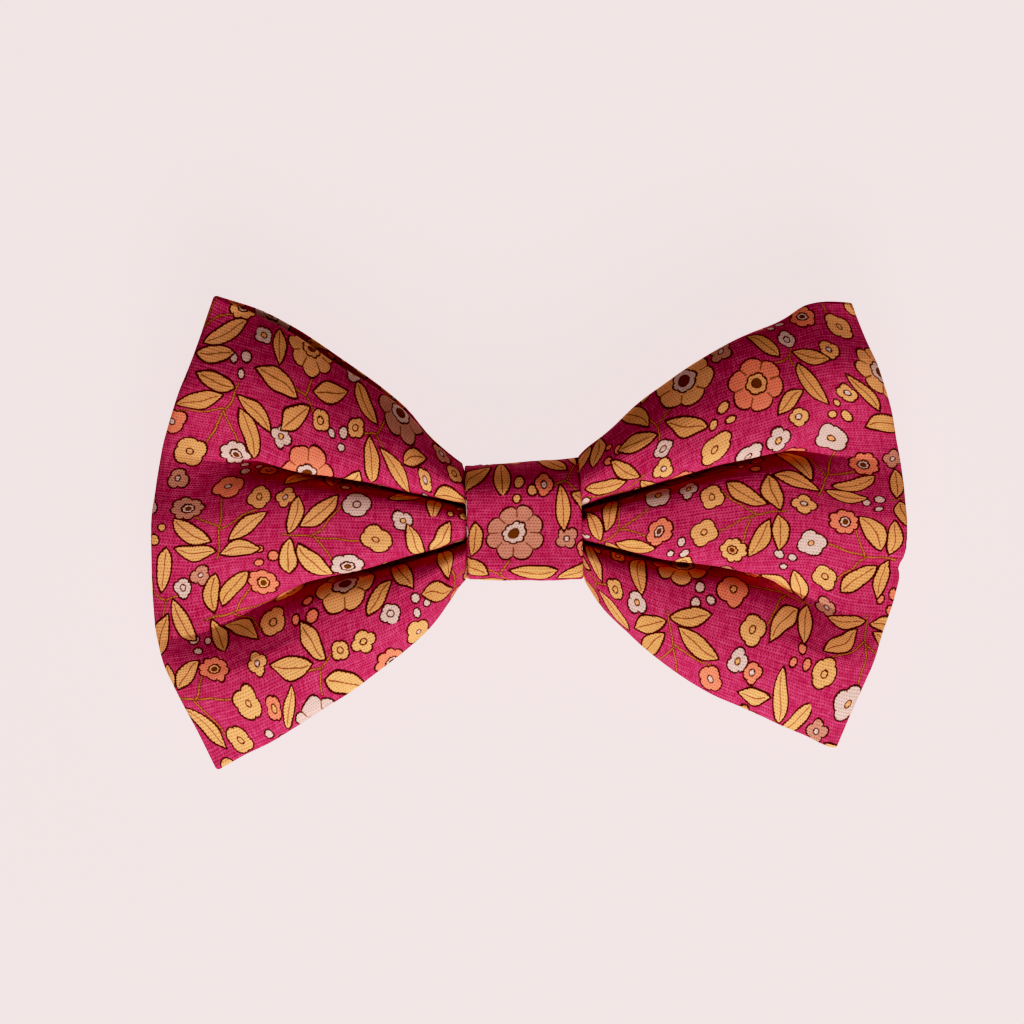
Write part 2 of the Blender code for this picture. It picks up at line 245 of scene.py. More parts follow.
def places_up_the_strip(y, z, pleat_places, soft):
    """Where each point lies on the flat strip, unstretched on the rolls that can be seen."""
    steps = np.hypot(np.diff(y, axis=1), np.diff(z, axis=1))
    arc = np.concatenate([np.zeros((len(y), 1)), np.cumsum(steps, axis=1)], axis=1)
    fixed = [0 * soft, *pleat_places, 0 * soft + STRIP_HEIGHT]
    places = np.zeros_like(y)
    for roll, crest in enumerate(CREST_POINTS):
        crest_place = (fixed[roll] + fixed[roll + 1]) / 2
        run = np.abs(arc - arc[:, crest:crest + 1])
        for bound, step, hidden in ((roll, -1, 2 * SPLINE_STEPS + 1), (roll + 1, 1, 2 * SPLINE_STEPS)):
            stop = STOP_POINTS[bound]
            seen = stop - step * hidden
            room = np.abs(fixed[bound] - crest_place)
            scale = np.minimum(1.0, 0.95 * room / run[:, seen])
            scale = scale + soft * (room / run[:, stop] - scale)
            for point in range(crest, stop + step, step):
                on_roll = run[:, point] * scale
                if (point - seen) * step > 0:
                    share = (run[:, point] - run[:, seen]) / np.maximum(run[:, stop] - run[:, seen], 1e-6)
                    on_roll = run[:, seen] * scale + share * (room - run[:, seen] * scale)
                places[:, point] = crest_place + step * on_roll
    return places


def band_side(side, height):
    """How far the band's side stands out from its middle at a height on the front."""
    if side < 0:
        return 9.0 + 0.033 * height
    return 9.32 - 0.045 * np.clip(height, -9.3, 3.4) * 0.6 - 0.14 * np.clip(height - 3.4, 0, 6)


def wing_rows(wing, layer, along):
    """One layer of a wing: its points row by row from the band out, and their places on the strip."""
    bottom, lower, upper, top = (drawn_through(wing[name], along) for name in LINES)
    crest, drop, curl, back_crest, back_crease, wave = (drawn_through(WING_FORM, along, c) for c in range(1, 7))
    rim = CLOTH / 2 * np.exp(-curl)
    bottom, top = bottom + rim, top - rim
    if layer == "front":
        pockets = [(drawn_through(wing[name], along), np.maximum(drawn_through(wing[name], along, 2), 0))
                   for name in ("lower_pocket", "upper_pocket")]
        top = top - np.maximum(drawn_through(wing["peek"], along), 0) * (1 - along ** 12)
        height, level = crest, 1.0
    else:
        pockets = [(back_crease, 0 * along)] * 2
        tucked = BACK_TUCK * (1 - along ** 8)
        bottom, top = bottom + tucked, top - (tucked if wing["side"] > 0 else 0)
        height, level, drop, curl = back_crest, -1.0, back_crease, 0 * along
    y, z = (splined(points) for points in cloth_section([bottom, lower, upper, top], pockets, drop, curl))
    soft = np.exp(-(pockets[0][1] + pockets[1][1]) / 1.2)
    pleat_places = [start + (end - start) * along for start, end in wing["pleat_places"]]
    strip = places_up_the_strip(y, z, pleat_places, soft)
    closing = np.sqrt(np.clip(1 - along ** 7, 0, 1))[:, None]      # both layers meet at the end fold
    share = np.clip((y - bottom[:, None]) / (top - bottom)[:, None], 0, 1)
    z = level * (height[:, None] + z) * closing - wave[:, None] * np.cos(6 * math.pi * share)
    lean = (LEAN[layer] + (LEAN_AT_FOLD - LEAN[layer]) * along ** 5) * np.clip(along / 0.3, 0, 1) ** 1.2
    over_crease = np.clip((y - upper[:, None]) / (top - upper)[:, None], 0, 1)
    z = z - lean[:, None] * over_crease ** 1.3
    fold_low, fold_high = wing["bottom"][-1][1], wing["top"][-1][1]
    up = np.clip((y[-1] - fold_low) / (fold_high - fold_low), 0, 1)
    end = HALF_BAND + drawn_through(wing["fold"], up) * wing["reach"]
    start = band_side(wing["side"], y) + UNDER_BAND_SIDE
    x = wing["side"] * (start + along[:, None] * (end[None, :] - start))
    return np.stack([x, y, z], axis=2), strip


def knot_rows(x_places, near_row, far_row):
    """The gathered cloth under the band, drawn in from the rows at its two sides."""
    rows = []
    for x in x_places:
        share = (x / HALF_BAND + 1) / 2
        row = near_row * (1 - share) + far_row * share
        rows.append(np.stack([0 * row[:, 0] + x, row[:, 1] * GATHER_IN, row[:, 2] * GATHER_DOWN], axis=1))
    return np.array(rows)


def cloth_run(rows):
    """The share of a wing's cloth that lies between the band and each row."""
    steps = np.linalg.norm(np.diff(rows, axis=0), axis=2).mean(axis=1)
    run = np.concatenate([[0], np.cumsum(steps)])
    return run / run[-1]


def outward(rows):
    """Each point's direction out of the cloth loop."""
    run = np.roll(rows, -1, axis=0) - np.roll(rows, 1, axis=0)
    normal = np.cross(run, np.gradient(rows, axis=1))
    return normal / np.maximum(np.linalg.norm(normal, axis=2, keepdims=True), 1e-9)


along, back_along = (np.concatenate([np.linspace(0, 0.92, run), 1 - 0.08 * (1 - np.linspace(0, 1, fold)[1:]) ** 2])
                     for run, fold in ((78, 22), (34, 16)))
left_front, left_front_strip = wing_rows(LEFT_WING, "front", along)
right_front, right_front_strip = wing_rows(RIGHT_WING, "front", along)
left_back, left_back_strip = wing_rows(LEFT_WING, "back", back_along)
right_back, right_back_strip = wing_rows(RIGHT_WING, "back", back_along)
under_band = np.array([-8.9, -6, -2, 2, 6, 8.9])

# Round the loop: left back, left front, knot, right front, right back and the knot's back
bow_rows = np.concatenate([
    left_back[:-1], left_front[::-1], knot_rows(under_band, left_front[0], right_front[0]),
    right_front, right_back[:-1][::-1], knot_rows(under_band[::-1], left_back[0], right_back[0])])
strip_up = np.concatenate([
    left_back_strip[:-1], left_front_strip[::-1], np.repeat(left_front_strip[:1], len(under_band), 0),
    right_front_strip, right_back_strip[:-1][::-1], np.repeat(left_back_strip[:1], len(under_band), 0)])
half_loop = KNOT_HALF_WIDTH + 2 * WING_CLOTH
strip_along = np.concatenate([
    -half_loop + WING_CLOTH * cloth_run(left_back)[:-1],
    -KNOT_HALF_WIDTH - WING_CLOTH * cloth_run(left_front)[::-1],
    under_band * KNOT_HALF_WIDTH / HALF_BAND,
    KNOT_HALF_WIDTH + WING_CLOTH * cloth_run(right_front),
    half_loop - WING_CLOTH * cloth_run(right_back)[:-1][::-1],
    half_loop + KNOT_HALF_WIDTH + under_band * KNOT_HALF_WIDTH / HALF_BAND])

# Soft dents and puckers of handled cotton: broad ones everywhere, fine ones beside the band.
# Each as (length and height of one, where its noise is cut, how far it stands out)
DENTS = ((15.0, 11.0, 3.1, 0.45), (6.5, 5.0, 7.7, 0.16), (9.0, 1.9, 11.3, 0.42))
PUCKER_REACH, SETTLED_AFTER = 9.0, 3.0      # how far puckers run from the band, and where dents start
directions = outward(bow_rows)
for row in range(len(bow_rows)):
    from_band = max(abs(strip_along[row]) - KNOT_HALF_WIDTH, 0.0)
    if from_band > 2 * WING_CLOTH:
        continue
    near = math.exp(-min(from_band, 2 * WING_CLOTH - from_band) / PUCKER_REACH)
    settled = min(from_band / SETTLED_AFTER, 1.0)
    for point in range(bow_rows.shape[1]):
        u, v = strip_along[row], strip_up[row, point]
        broad, small, pucker = (noise.noise(Vector((u / long, v / tall, slice_at))) * height
                                for long, tall, slice_at, height in DENTS)
        bow_rows[row, point] += directions[row, point] * (broad + small + pucker * near) * settled
directions = outward(bow_rows)


def round_fold(point, beside, turns, side):
    """The cloth round a long edge's fold, from face to face, and its places on the strip."""
    edge_out = bow_rows[:, point] - bow_rows[:, beside]
    edge_out = edge_out / np.linalg.norm(edge_out, axis=1, keepdims=True)
    middle = bow_rows[:, point] - directions[:, point] * CLOTH / 2
    for angle in np.radians(turns):
        out = math.cos(angle) * directions[:, point] + math.sin(angle) * edge_out
        yield middle + CLOTH / 2 * out, strip_up[:, point] + side * CLOTH / 2 * angle


def closed_cloth(name, points, places, once_round, face_corners):
    """A closed tube of cloth through rows of points. Its places on the flat strip are its UV map."""
    rows, across = points.shape[:2]
    i, k = np.meshgrid(np.arange(rows), np.arange(across), indexing="ij")
    j, m = (i + 1) % rows, (k + 1) % across
    corners = [((i, k), (j, k), (j, m), (i, m))[corner] for corner in face_corners]
    faces = np.stack([row * across + point for row, point in corners], axis=-1).reshape(-1, 4)
    flat = np.stack([places[row, point] + (row < i)[..., None] * np.array(once_round)
                     for row, point in corners], axis=2)
    mesh = bpy.data.meshes.new(name)
    mesh.from_pydata((points.reshape(-1, 3) / 1000 + BAND_MIDDLE).tolist(), [], faces.tolist())
    mesh.uv_layers.new(name="UVMap").data.foreach_set("uv", (flat / 1000).ravel())
    mesh.shade_smooth()
    mesh.update()
    return set_out(name, mesh)


outer_face = [(bow_rows[:, point], strip_up[:, point]) for point in range(bow_rows.shape[1])]
inner_face = [(outer - directions[:, point] * CLOTH, up) for point, (outer, up) in enumerate(outer_face)]
tube, tube_up = (np.stack(part, axis=1) for part in zip(
    *outer_face, *round_fold(-1, -2, (45, 90, 135), 1), *inner_face[::-1], *round_fold(0, 1, (135, 90, 45), -1)))
tube_places = np.stack([np.broadcast_to(strip_along[:, None], tube_up.shape), tube_up], axis=2)
bow_cloth = closed_cloth("bow_cloth", tube, tube_places, (LOOP_LENGTH, 0.0), (0, 1, 2, 3))


# Its cotton is a plain weave of about 68 threads an inch, printed all over with small flowers.
# Each sprig has its own flower, leaves and buds, tossed over the cloth; little blossoms fill in.
END_PITCH, PICK_PITCH = 0.235, 0.47      # millimetres between threads, along and up the strip


class Worked:
    """What a node puts out. A sum with it adds a maths node to its tree."""

    def __init__(self, socket):
        self.socket, self.tree = socket, socket.id_data

    def __add__(self, other):
        return maths("ADD", self, other)

    def __radd__(self, other):
        return maths("ADD", other, self)

    def __sub__(self, other):
        return maths("SUBTRACT", self, other)

    def __rsub__(self, other):
        return maths("SUBTRACT", other, self)

    def __mul__(self, other):
        return maths("MULTIPLY", self, other)

    def __truediv__(self, other):
        return maths("DIVIDE", self, other)

    def __rtruediv__(self, other):
        return maths("DIVIDE", other, self)

    def __pow__(self, other):
        return maths("POWER", self, other)

    def __gt__(self, other):
        return maths("GREATER_THAN", self, other)

    def __abs__(self):
        return maths("ABSOLUTE", self)


def wired(tree, kind, inputs=(), output=0, **settings):
    """What a new node puts out: one output, or all where None is asked. Inputs come from values or nodes."""
    node = tree.nodes.new(kind)
    for name, value in settings.items():
        setattr(node, name, value)
    for socket, value in (inputs.items() if isinstance(inputs, dict) else enumerate(inputs)):
        if isinstance(value, Worked):
            tree.links.new(value.socket, node.inputs[socket])
        elif value is not None:
            node.inputs[socket].default_value = value
    return [Worked(made) for made in node.outputs] if output is None else Worked(node.outputs[output])


def maths(operation, *values, **settings):
    """A maths node on numbers or on vectors, at least one of them from another node."""
    worked = [value for value in values if isinstance(value, Worked)]
    plain = all(value.socket.type == "VALUE" for value in worked) and not any(isinstance(v, tuple) for v in values)
    return wired(worked[0].tree, "ShaderNodeMath" if plain else "ShaderNodeVectorMath", values,
                 "Value" if operation == "LENGTH" else 0, operation=operation, **settings)


def turned(vector, angle):
    return wired(vector.tree, "ShaderNodeVectorRotate", {"Vector": vector, "Angle": angle}, rotation_type="Z_AXIS")


def combined(x, y=None, z=None):
    tree = next(part for part in (x, y, z) if isinstance(part, Worked)).tree
    return wired(tree, "ShaderNodeCombineXYZ", [x, y, z])


def parts_of(vector):
    return wired(vector.tree, "ShaderNodeSeparateXYZ", [vector], None)


def chances_in(colour):
    return wired(colour.tree, "ShaderNodeSeparateColor", [colour], None)


def blended(factor, under, over):
    return wired(factor.tree, "ShaderNodeMix", {0: factor, 6: under, 7: over}, 2, data_type="RGBA")


def cloudy(place, scale, detail, output="Fac", **settings):
    inputs = {"Vector": place, "Scale": scale, "Detail": detail}
    return wired(place.tree, "ShaderNodeTexNoise", inputs, output, **settings)


def drifted(place, scale, reach, detail):
    """A place on the cloth, moved a little by noise."""
    drift = cloudy(place, scale, detail, "Color", noise_dimensions="2D")
    return place + (drift - (0.5, 0.5, 0.5)) * (reach, reach, 0.0)


def new_tree(kind, name, **given):
    """A node tree and what it is given: inputs that are each a kind of socket, or a number."""
    tree = bpy.data.node_groups.new(name, kind)
    for title, value in given.items():
        holds = value if isinstance(value, str) else "Float"
        made = tree.interface.new_socket(
            name=title.replace("_", " "), in_out="INPUT", socket_type="NodeSocket" + holds)
        if holds == "Float":
            made.default_value = value
    start = tree.nodes.new("NodeGroupInput")
    return tree, *(Worked(socket) for socket, _ in zip(start.outputs, given))


def gives(tree, **outputs):
    """Ends a node tree with its outputs."""
    for title, value in outputs.items():
        holds = {"VALUE": "Float", "RGBA": "Color"}.get(value.socket.type, value.socket.type.title())
        tree.interface.new_socket(
            name=title.replace("_", " "), in_out="OUTPUT", socket_type="NodeSocket" + holds)
    end = tree.nodes.new("NodeGroupOutput")
    for socket, value in zip(end.inputs, outputs.values()):
        tree.links.new(value.socket, socket)
    return tree


def placed(tree, group, **inputs):
    """A node group set into a tree: what it puts out, by name."""
    inputs = {name.replace("_", " "): value for name, value in inputs.items()}
    return {made.socket.name: made for made in wired(tree, "ShaderNodeGroup", inputs, None, node_tree=group)}


def leaf_group():
    """How far inside a pointed leaf's outline a place is, and how far off its rib."""
    group, place, middle, turn, length, width, bend = new_tree(
        "ShaderNodeTree", "printed_leaf", Place="Vector", Middle="Vector", Turn=0.0, Half_length=0.0,
        Half_width=0.0, Bend=0.0)
    x, y, _ = parts_of(turned(place - middle, turn * -1.0))
    radius = (length * length + width * width) / (width * 2.0)
    off = abs(y + bend * (x * x))
    reach = maths("LENGTH", combined(x, off + (radius - width)))
    return gives(group, Inside=radius - reach, Off_rib=off)


def blossom_group():
    """How far inside a petalled outline a place is, how far from its middle and from a petal's seam."""
    group, place, middle, radius, petals, notch, turn = new_tree(
        "ShaderNodeTree", "printed_blossom", Place="Vector", Middle="Vector", Radius=0.0, Petals=0.0,
        Notch=0.0, Turn=0.0)
    at = place - middle
    x, y, _ = parts_of(at)
    angle = maths("ARCTAN2", y, x) + turn
    swing = abs(maths("COSINE", angle * petals * 0.5))
    share = 1.0 - notch * (1.0 - swing ** 0.55)
    out = maths("LENGTH", at)
    return gives(group, Inside=radius * share - out, Out=out, Off_seam=out * swing * (2.0 / petals))


def stem_group():
    """How far inside a thin curved line a place is."""
    group, place, foot, turn, length, bend, half_width = new_tree(
        "ShaderNodeTree", "printed_stem", Place="Vector", Foot="Vector", Turn=0.0, Length=0.0, Bend=0.0,
        Half_width=0.0)
    x, y, _ = parts_of(turned(place - foot, turn * -1.0))
    off = abs(y - bend * (x * x))
    return gives(group, Inside=maths("MINIMUM", half_width - off, maths("MINIMUM", x, length - x)))


def ink_group():
    """One printed shape over what is under it: its dark outline, and its fill inside that."""
    group, under, fill, line, inside, width = new_tree(
        "ShaderNodeTree", "screen_ink", Under="Color", Fill="Color", Line="Color", Inside=0.0, Line_width=0.0)
    outer, inner = (maths("MULTIPLY_ADD", edge, 8.0, 0.5, use_clamp=True) for edge in (inside, inside - width))
    return gives(group, Colour=blended(inner, blended(outer, under, line), fill))


def toss_group():
    """Which sprig a place on the cloth belongs to: the place in that sprig's own frame, and its chances."""
    group, place, shift, apart, seed = new_tree(
        "ShaderNodeTree", "tossed_repeat", Place="Vector", Shift="Vector", Apart=0.0, Seed=0.0)
    shifted = place - shift
    lattice = combined(apart, apart * 3 ** 0.5, 1.0)
    counted = shifted / lattice
    # Two oblong lattices, one half a step on: the nearer centre of the two makes honeycomb cells
    centres = []
    for half in (0.0, 0.5):
        whole = maths("FLOOR", counted + (0.5 - half, 0.5 - half, 0.0))
        local = (shifted - (whole + (half, half, 0.0)) * lattice) * (1.0, 1.0, 0.0)
        centres.append((local, whole + (0.0, 0.0, 20 * half), maths("LENGTH", local)))
    nearer = maths("LESS_THAN", centres[1][2], centres[0][2])
    local, cell = (wired(group, "ShaderNodeMix", {0: nearer, 4: one, 5: other}, 1, data_type="VECTOR")
                   for one, other in tuple(zip(*centres))[:2])
    cell = cell + combined(0.5, 0.5, seed)
    chance, other = (wired(group, "ShaderNodeTexWhiteNoise", {"Vector": at}, "Color", noise_dimensions="3D")
                     for at in (cell, cell + (17.3, 5.9, 41.7)))
    spin, flip, *_ = chances_in(chance)
    mirror = maths("MULTIPLY_ADD", flip > 0.5, 2.0, -1.0)
    spun = turned(local, spin * (2 * math.pi))
    return gives(group, Place=spun * combined(mirror, 1.0, 0.0), Chance=chance, Other_chance=other)


def screen_colour(red, green, blue):
    """A printing ink as a linear colour, from its shade on a screen."""
    shades = (red / 255, green / 255, blue / 255)
    return tuple(c / 12.92 if c <= 0.04045 else ((c + 0.055) / 1.055) ** 2.4 for c in shades) + (1.0,)


def picked(chance, *inks):
    """One of several inks, by chance."""
    made = wired(chance.tree, "ShaderNodeValToRGB", {"Fac": chance})
    ramp = made.socket.node.color_ramp
    ramp.interpolation = "CONSTANT"
    while len(ramp.elements) < len(inks):
        ramp.elements.new(1.0)
    for place, stop in enumerate(ramp.elements):
        stop.position = place / len(inks)
    for stop, ink in zip(ramp.elements, inks):
        stop.color = screen_colour(*ink)
    return made


SPRIG_SPACING = 18.6
# Each row is one shape twice: in the sprig with one open flower, then in the spray of small ones.
# Leaves: (across, up, turn, half length, half width), in millimetres from the sprig's middle
SPRIG_LEAVES = (
    ((5.0, -1.2, 0.55, 4.1, 1.65), (4.1, -2.3, 0.75, 4.1, 1.65)),
    ((-4.6, -4.0, 3.35, 3.8, 1.6), (-4.5, -3.0, 2.45, 4.1, 1.65)),
    ((3.4, -5.9, -0.35, 3.7, 1.55), (3.6, -6.3, 0.15, 3.6, 1.5)),
    ((3.2, 3.5, 1.80, 3.3, 1.35), (-3.7, -6.5, 3.0, 3.5, 1.5)),
)
# Stems: (foot across, foot up, turn, length, bend)
SPRIG_STEMS = (
    ((0.2, -3.6, 2.1, 3.0, 0.05), (0.1, -8.2, 1.57, 11.6, 0.006)),
    ((0.2, -3.8, 0.7, 4.6, -0.055), (0.1, -3.0, 2.35, 5.4, 0.04)),
    ((0.2, -3.7, 4.3, 2.4, 0.05), (0.1, -3.4, 0.85, 7.4, -0.03)),
)
# Flowers: (across, up, radius); the first one in each has a ring round its eye
SPRIG_FLOWERS = (
    ((-2.9, 3.1, 4.7), (-5.3, 1.9, 2.6)),
    ((5.9, 5.2, 1.75), (0.0, 5.9, 2.6)),
    ((-1.6, -7.1, 1.75), (5.6, 2.9, 2.3)),
)
# Berries: (across, up, radius), in millimetres from the gap's middle
GAP_BERRIES = ((0.0, 1.25, 0.98), (1.3, -0.7, 0.88), (-1.2, -0.9, 0.80))
GOLD, OCHRE, DARK_OCHRE = (242, 168, 114), (234, 160, 106), (226, 156, 102)
CORAL, BLUSH, ROSE_BROWN = (244, 136, 108), (229, 185, 173), (206, 138, 118)
FLOWER_INKS = ((GOLD, CORAL, BLUSH, OCHRE, GOLD, ROSE_BROWN, GOLD, CORAL), (BLUSH, GOLD, CORAL, GOLD, BLUSH),
               (GOLD, BLUSH, GOLD, CORAL))
OUTLINE, RIB_INK, STEM_INK = screen_colour(66, 28, 20), screen_colour(120, 66, 36), screen_colour(196, 120, 66)


def print_group():
    """The flower print: the cloth's colour at a place on the flat strip, in millimetres."""
    group, place, cloth, rag = new_tree(
        "ShaderNodeTree", "tossed_flower_print", Place="Vector", Cloth="Color", Rag=0.0)
    leaf, blossom, stem, ink, toss = leaf_group(), blossom_group(), stem_group(), ink_group(), toss_group()
    for scale, reach in ((0.04, 5.0), (0.3, 0.7)):      # the cloth's drift, and the drawing's own wobble
        place = drifted(place, scale, reach, 0.0)
    place = turned(place, math.radians(14))

    def inked(colour, inside, fill, line=OUTLINE, width=0.30):
        made = placed(group, ink, Under=colour, Fill=fill, Line=line, Inside=inside + rag, Line_width=width)
        return made["Colour"]

    def tossed_parts(shift, seed):
        tossed = placed(group, toss, Place=place, Shift=shift, Apart=SPRIG_SPACING, Seed=seed)
        return tossed["Place"], chances_in(tossed["Chance"]), chances_in(tossed["Other chance"])

    def flower_shape(middle, radius, petals, notch, turn):
        return placed(group, blossom, Place=at, Middle=middle, Radius=radius, Petals=petals, Notch=notch, Turn=turn)

    # In two of every three gaps between the sprigs, a little blossom or three berries
    gap_up = SPRIG_SPACING / 12 ** 0.5
    at, chance, other = tossed_parts((SPRIG_SPACING / 2, gap_up, 0.0), 3.0)
    little = flower_shape((0.0, 0.0, 0.0), 2.0, 3.0 + (other[1] > 0.5), 0.34, other[2])
    colour = inked(cloth, little["Inside"], picked(other[0], BLUSH, GOLD, ROSE_BROWN), width=0.28)
    colour = inked(colour, 0.55 - little["Out"], picked(other[0], GOLD, BLUSH), width=0.2)
    at, chance, other = tossed_parts((SPRIG_SPACING / 2, -gap_up, 0.0), 8.0)
    for x, y, size in GAP_BERRIES:
        berry = flower_shape((x, y, 0.0), size, 1.0, 0.05, 0.0)
        colour = inked(colour, berry["Inside"], picked(other[0], CORAL, GOLD, BLUSH), width=0.26)

    at, chance, other = tossed_parts((0.0, 0.0, 0.0), 1.0)
    spray = chance[2] > 0.60

    def either(one, two):
        """A value that is the first in a sprig with one flower and the second in a spray."""
        if isinstance(one, tuple):
            return maths("MULTIPLY_ADD", spray, tuple(b - a for a, b in zip(one, two)), one)
        return one if one == two else maths("MULTIPLY_ADD", spray, two - one, one)

    def sprig_shape(one, two):
        """A shape's middle and its sizes, from its two rows."""
        return either((*one[:2], 0.0), (*two[:2], 0.0)), *(either(a, b) for a, b in zip(one[2:], two[2:]))

    for foot, turn, length, bend in (sprig_shape(*rows) for rows in SPRIG_STEMS):
        line = placed(group, stem, Place=at, Foot=foot, Turn=turn, Length=length, Bend=bend, Half_width=0.19)
        colour = inked(colour, line["Inside"], STEM_INK, width=0.09)
    leaf_ink = picked(other[1], OCHRE, GOLD, DARK_OCHRE)
    for middle, turn, length, width in (sprig_shape(*rows) for rows in SPRIG_LEAVES):
        shape = placed(group, leaf, Place=at, Middle=middle, Turn=turn, Half_length=length, Half_width=width,
                       Bend=0.03)
        colour = inked(colour, shape["Inside"], leaf_ink)
        rib = maths("MINIMUM", 0.06 - shape["Off rib"], shape["Inside"] - 0.62)
        colour = inked(colour, rib, RIB_INK, RIB_INK, width=0.05)
    spin = other[1] * 3.0
    shapes = (sprig_shape(*rows) for rows in SPRIG_FLOWERS)
    for (middle, radius), inks, ink_chance in zip(shapes, FLOWER_INKS, other):
        if inks is not FLOWER_INKS[0]:
            bud = flower_shape(middle, radius, 4.0, 0.2, spin)
            colour = inked(colour, bud["Inside"], picked(ink_chance, *inks), width=0.27)
            colour = inked(colour, 0.6 - bud["Out"], picked(ink_chance, GOLD, BLUSH, GOLD, BLUSH), width=0.2)
            continue
        petals = maths("MULTIPLY_ADD", other[2] > 0.5, 2.0, 6.0)
        flower = flower_shape(middle, radius, petals, 0.2, spin)
        colour = inked(colour, flower["Inside"], picked(ink_chance, *inks))
        seam = maths("MINIMUM", maths("MINIMUM", 0.08 - flower["Off seam"], flower["Out"] - 2.4), flower["Inside"])
        colour = inked(colour, seam, RIB_INK, RIB_INK, width=0.05)
        ring = flower_shape(middle, radius * 0.42, petals, 0.16, spin + math.pi / petals)
        colour = inked(colour, ring["Inside"], picked(other[2], BLUSH, GOLD, BLUSH), width=0.28)
        colour = inked(colour, radius * 0.19 - flower["Out"], RIB_INK, width=0.12)
    return gives(group, Colour=colour)


def weave_group():
    """Plain weave of fine ends and thicker picks: where its holes lie, in staggered rows, to be darkened as painted
    shade, and its uneven threads.
    """
    group, place, end_pitch, pick_pitch = new_tree(
        "ShaderNodeTree", "plain_weave", Place="Vector", End_pitch=0.0, Pick_pitch=0.0)
    place = drifted(place, 0.35, 0.35, 2.0)
    x, y, _ = parts_of(place)
    ends, picks = (maths("COSINE", at / pitch * math.pi) for at, pitch in ((x, end_pitch), (y, pick_pitch)))
    hole = picks ** 2.0 * maths("MULTIPLY_ADD", ends * picks, 0.5, 0.5)
    ends_shade, picks_shade = (cloudy(place * run, 1.0, 2.0, noise_dimensions="2D")
                               for run in ((0.35, 2.4, 0.0), (3.2, 0.35, 0.0)))
    return gives(group, Hole=hole, Slub=(ends_shade + picks_shade) * 0.5)


def new_surface(name):
    """A new material and its surface."""
    material = bpy.data.materials.new(name)
    material.use_nodes = True
    return material, material.node_tree.nodes["Principled BSDF"]


def finish(surface, colour, roughness, height, strength, distance, **others):
    """Gives a surface its colour, its fine relief and its sheen."""
    tree = surface.id_data
    relief = wired(tree, "ShaderNodeBump", {"Height": height, "Strength": strength, "Distance": distance})
    for name, value in (("Base Color", colour), ("Roughness", roughness), ("Normal", relief)):
        tree.links.new(value.socket, surface.inputs[name])
    for name, value in others.items():
        surface.inputs[name.replace("_", " ")].default_value = value


flower_print, plain_weave = print_group(), weave_group()


def printed_cotton(name, shift):
    """The printed cotton, read at a shift on its flat length so each piece is cut from elsewhere."""
    material, surface = new_surface(name)
    tree = material.node_tree
    uv = wired(tree, "ShaderNodeUVMap", uv_map="UVMap")
    place = wired(tree, "ShaderNodeMapping", {
        "Vector": uv, "Location": (*shift, 0.0), "Scale": (1000.0, 1000.0, 1.0)})
    weave = placed(tree, plain_weave, Place=place, End_pitch=END_PITCH, Pick_pitch=PICK_PITCH)
    hole, slub = weave["Hole"], weave["Slub"]
    raised = 1.0 - hole
    # Thread crowns made lighter and pinker: partly lint on worn crowns, partly a painted highlight where light
    # catches the raised threads.
    crown_lint_and_sheen = raised * maths("MULTIPLY_ADD", slub, 3.0, -1.0, use_clamp=True)
    cloth = blended(crown_lint_and_sheen * 0.38, screen_colour(184, 42, 90), screen_colour(234, 124, 158))
    rag = maths("MULTIPLY_ADD", hole, -0.10, 0.03)
    printed = placed(tree, flower_print, Place=place, Cloth=cloth, Rag=rag)["Colour"]
    # Painted shade: the weave's holes darkened where shade falls between the threads; the slub adds uneven thread
    # tone.
    shade = maths("MULTIPLY_ADD", hole, -0.50, 1.09) * maths("MULTIPLY_ADD", slub, 0.5, 0.75)
    shades = wired(tree, "ShaderNodeCombineColor", [shade] * 3)
    printed_and_hole_shaded = wired(tree, "ShaderNodeMix", {0: 1.0, 6: printed, 7: shades}, 2, data_type="RGBA",
                  blend_type="MULTIPLY")
    finish(surface, printed_and_hole_shaded, maths("MULTIPLY_ADD", slub, -0.2, 0.98), raised, 0.6, 0.00008, Specular_IOR_Level=0.05,
           Sheen_Weight=0.03, Sheen_Roughness=0.5, Sheen_Tint=(1.0, 0.75, 0.8, 1.0))
    return material


bow_cloth.data.materials.append(printed_cotton("bow_cotton", (3.0, 5.0)))
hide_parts("bow_body")
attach(bow_cloth, "root")


# The centre band is a narrow strip of the same cotton, its long sides folded in, wrapped round
# the gathers and joined behind. It leans a little and its top front corner rolls away.
BAND_HALF_HEIGHT, BAND_HALF_DEPTH, BAND_CLOTH = 9.3, 7.5, 1.1
BAND_ROUNDS = (2.4, 2.4, 5.2, 2.4)      # bottom back, bottom front, top front, top back
BAND_CROWN = 0.22                       # how much lower its sides are than its middle
TOP_SLANT, TOP_FLARE = 0.075, 0.35      # the top rises to the right, and a little more at both its ends
BOTTOM_SLANT, BOTTOM_DROP = -0.0015, 0.3
TOP_ROLL, BOTTOM_FALL, ROLL_FROM = 0.052, 0.04, 2.0      # how its front rolls away over and under a height
SEAM_UP, SEAM_DEPTH, SEAM_WIDTH = -4.6, 0.35, 0.45


def rounded_path(half_height, half_depth, rounds, bend_steps, run_steps):
    """Points and outward directions round a rounded oblong, as (up, front)."""
    ends = []
    for corner, (up, front) in enumerate(((-1, -1), (-1, 1), (1, 1), (1, -1))):
        bend = rounds[corner]
        for turn in np.linspace(0, math.pi / 2, bend_steps + 1) + corner * math.pi / 2:
            out = np.array([-math.sin(turn), -math.cos(turn)])
            ends.append((np.array([up * (half_height - bend), front * (half_depth - bend)]) + bend * out, out))
    path, path_out = [], []
    for index, (here, out) in enumerate(ends):
        there = ends[(index + 1) % len(ends)][0]
        pieces = run_steps if (index + 1) % (bend_steps + 1) == 0 else 1
        path += [here + (there - here) * piece / pieces for piece in range(pieces)]
        path_out += [out] * pieces
    return np.array(path), np.array(path_out)


